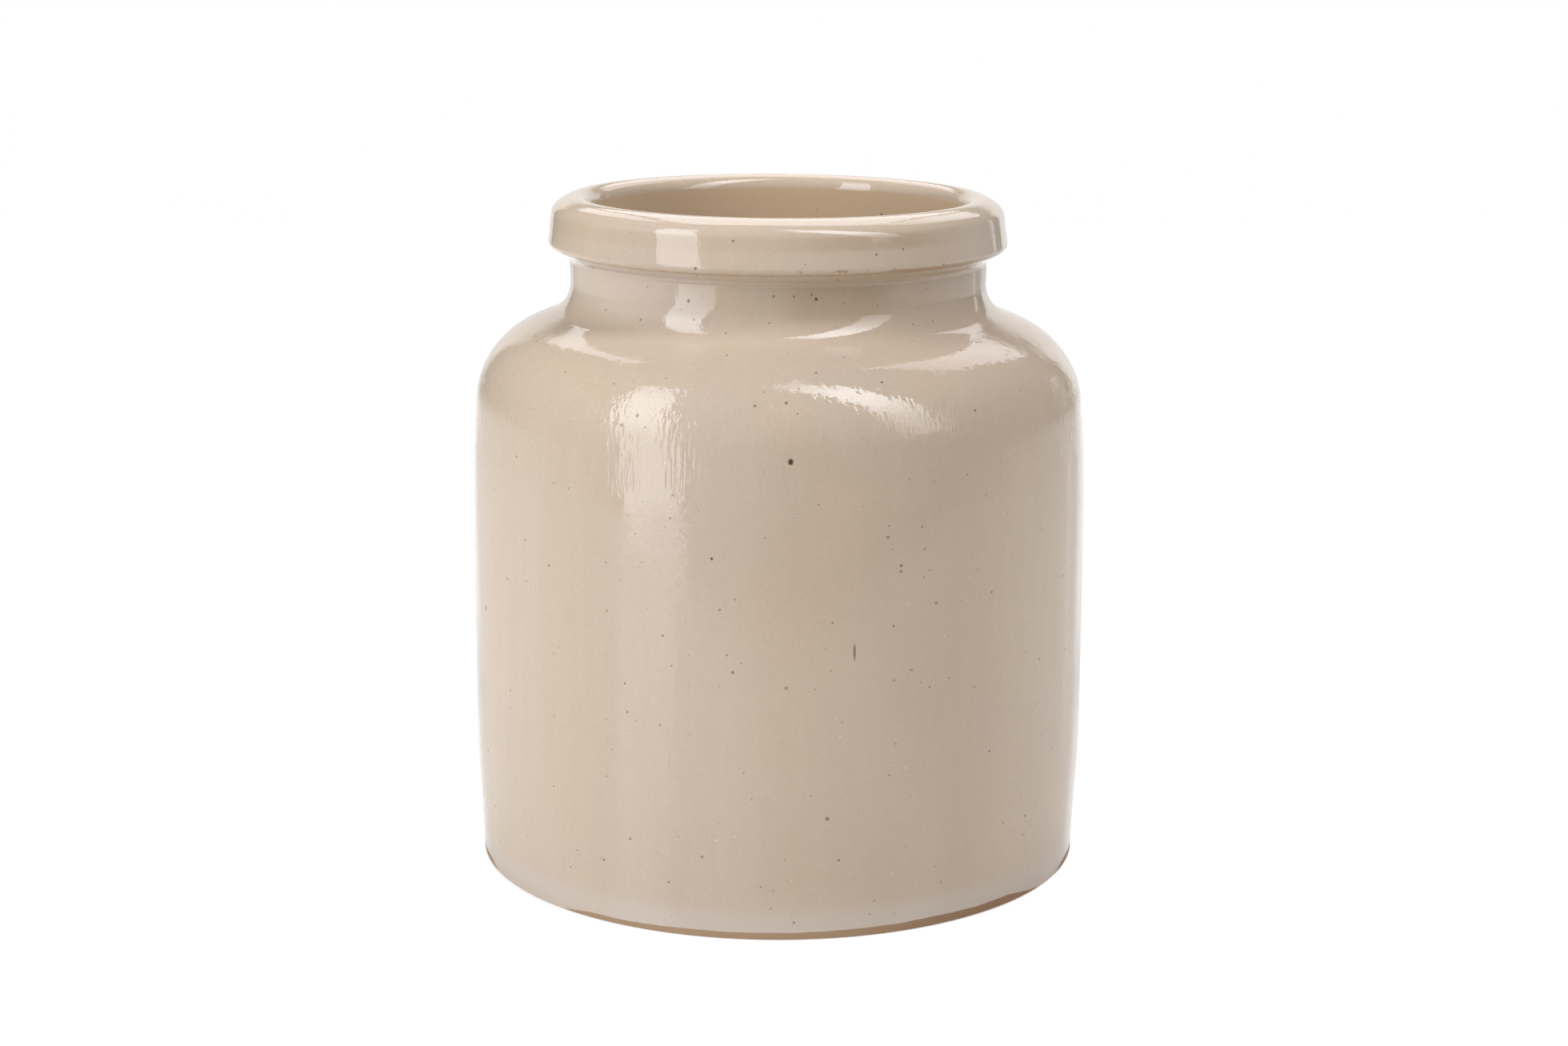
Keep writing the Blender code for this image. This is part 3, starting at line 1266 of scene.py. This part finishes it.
@dataclass(frozen=True)
class Table:
    """The pale glossy table top, white to the camera but for the jar's shadow.

    Its edges are in metres, and places on it in millimetres. The glows are what the jar meets:
    one in front, one beside the jar, and a dim one far behind it and right behind the jar, where it
    is the jar's painted shadow. The camera sees another glow, which grows with the distance from
    the jar.
    """

    left: float = -1.35
    right: float = 1.25
    front: float = -0.34
    back: float = 1.5
    tone: float = 0.82
    roughness: float = 0.12
    refraction: float = 1.5
    front_glow: float = 0.09
    middle_glow: float = 0.31
    dim_glow: float = 0.1
    middle_starts: Pair = (-80.0, 40.0)
    painted_shadow_x: Band = (-130.0, 130.0, 50.0)
    painted_shadow_y: Band = (140.0, 330.0, 70.0)
    far: Pair = (600.0, 900.0)
    shown_near: float = 0.5
    shown_far: float = 1.0
    shown_changes: Pair = (250.0, 450.0)

    def make(self) -> None:
        """Lays the table under the jar."""
        middle = Vector(((self.left + self.right) / 2, (self.front + self.back) / 2, 0.0))
        size = Vector((self.right - self.left, self.back - self.front, 1.0))
        stand_panel("table", Matrix.LocRotScale(middle, None, size), self._finish())

    def _finish(self) -> bpy.types.Material:
        """The table's material."""
        material, nodes = new_material("pale_table")
        tone = opaque(grey(self.tone))
        x, y, _ = nodes.axes
        starts = y.rise(*self.middle_starts)
        # The jar's painted shadow on the table, right behind it, in the glow that the jar meets.
        behind = x.band(*self.painted_shadow_x) * y.band(*self.painted_shadow_y)
        lit = nodes.colours(starts, grey(self.front_glow), grey(self.middle_glow))
        lit = nodes.colours(behind.most(y.rise(*self.far)), lit, grey(self.dim_glow))
        away = nodes.radius.rise(*self.shown_changes)
        pale = nodes.colours(away, grey(self.shown_near), grey(self.shown_far))
        top = nodes.add(
            "ShaderNodeBsdfPrincipled",
            inputs={
                "Base Color": tone,
                "Roughness": self.roughness,
                "IOR": self.refraction,
                "Emission Color": lit,
                "Emission Strength": 1.0,
            },
        )
        dull = nodes.add("ShaderNodeBsdfDiffuse", inputs={"Color": tone})
        glow = nodes.add("ShaderNodeEmission", inputs={"Color": pale, "Strength": 1.0})
        shown = nodes.add("ShaderNodeAddShader", inputs={0: dull.outputs[0], 1: glow.outputs[0]})
        nodes.finish(nodes.by_ray(camera=shown, others=top))
        return material


@dataclass(frozen=True)
class Backdrop:
    """The panel behind the jar: white to the camera, and brighter to the right for the jar.

    Its edges are in metres, and places on it in millimetres. It fades to its top edge from the
    height full.
    """

    left: float = -0.66
    right: float = 0.84
    height: float = 0.68
    full: float = 0.48
    distance: float = 1.3
    left_tone: float = 0.64
    middle_tone: float = 0.68
    right_tone: float = 0.85
    top_tone: float = 0.07
    middle_starts: Pair = (-200.0, 350.0)
    right_starts: Pair = (350.0, 700.0)
    glow: float = 1.4

    def make(self) -> None:
        """Stands the panel up behind the jar."""
        middle = Vector(((self.left + self.right) / 2, self.distance, self.height / 2))
        upright = Matrix.Rotation(math.radians(90.0), 3, "X")
        size = Vector((self.right - self.left, self.height, 1.0))
        placed = Matrix.LocRotScale(middle, upright, size)
        stand_panel("backdrop", placed, self._finish())

    def _finish(self) -> bpy.types.Material:
        """The panel's material."""
        material, nodes = new_material("white_backdrop")
        x, _, z = nodes.axes
        middle, right = x.rise(*self.middle_starts), x.rise(*self.right_starts)
        top = z.rise(self.full / MM, self.height / MM)
        tone = nodes.colours(middle, grey(self.left_tone), grey(self.middle_tone))
        tone = nodes.colours(right, tone, grey(self.right_tone))
        tone = nodes.colours(top, tone, grey(self.top_tone))
        glow = nodes.add("ShaderNodeEmission", inputs={"Color": tone, "Strength": self.glow})
        white = nodes.add(
            "ShaderNodeEmission", inputs={"Color": opaque(grey(1.0)), "Strength": 1.0}
        )
        nodes.finish(nodes.by_ray(camera=white, others=glow))
        return material


@dataclass(frozen=True)
class Studio:
    """The lamps, the room, the table and the backdrop."""

    lamps: tuple[Softbox, ...] = LAMPS
    room: Room = Room()
    table: Table = Table()
    backdrop: Backdrop = Backdrop()

    def make(self) -> None:
        """Sets up everything that isn't part of the jar."""
        for lamp in self.lamps:
            lamp.make()
        self.room.make()
        self.table.make()
        self.backdrop.make()


@dataclass(frozen=True)
class PhotoCamera:
    """The camera at the photograph's place, in millimetres and degrees."""

    place: tuple[float, float, float] = (1.45, -673.708, 235.211)
    down: float = 12.925
    roll: float = 0.097
    lens: float = 64.286
    sensor: float = 36.0

    def make(self) -> None:
        """Sets up the camera and makes it the scene's own."""
        data = bpy.data.cameras.new("camera")
        data.lens, data.sensor_width = self.lens, self.sensor
        data.clip_start, data.clip_end = 0.01, 50.0
        camera = bpy.data.objects.new("camera", data)
        bpy.context.scene.collection.objects.link(camera)
        turn = Matrix.Rotation(math.radians(90.0 - self.down), 4, "X") @ Matrix.Rotation(
            math.radians(self.roll), 4, "Z"
        )
        camera.matrix_world = Matrix.Translation(Vector(self.place) * MM) @ turn
        bpy.context.scene.camera = camera


def main() -> None:
    """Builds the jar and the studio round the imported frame."""
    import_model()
    bpy.context.scene.view_settings.view_transform = "Standard"
    PhotoCamera().make()
    wheel = Wheel()
    faults = ThrowingFaults()
    coat = GlazeCoat()
    glaze = coat.make(wheel, faults, GlazeFinish().make())
    clay = ClayBody().make(coat, wheel, faults, ClayFinish().make())
    Dressing.hand_over(glaze, "glaze_coat", "beige_glaze")
    Dressing.hand_over(clay, "clay_body", "fired_clay")
    Studio().make()


if __name__ == "__main__":
    main()
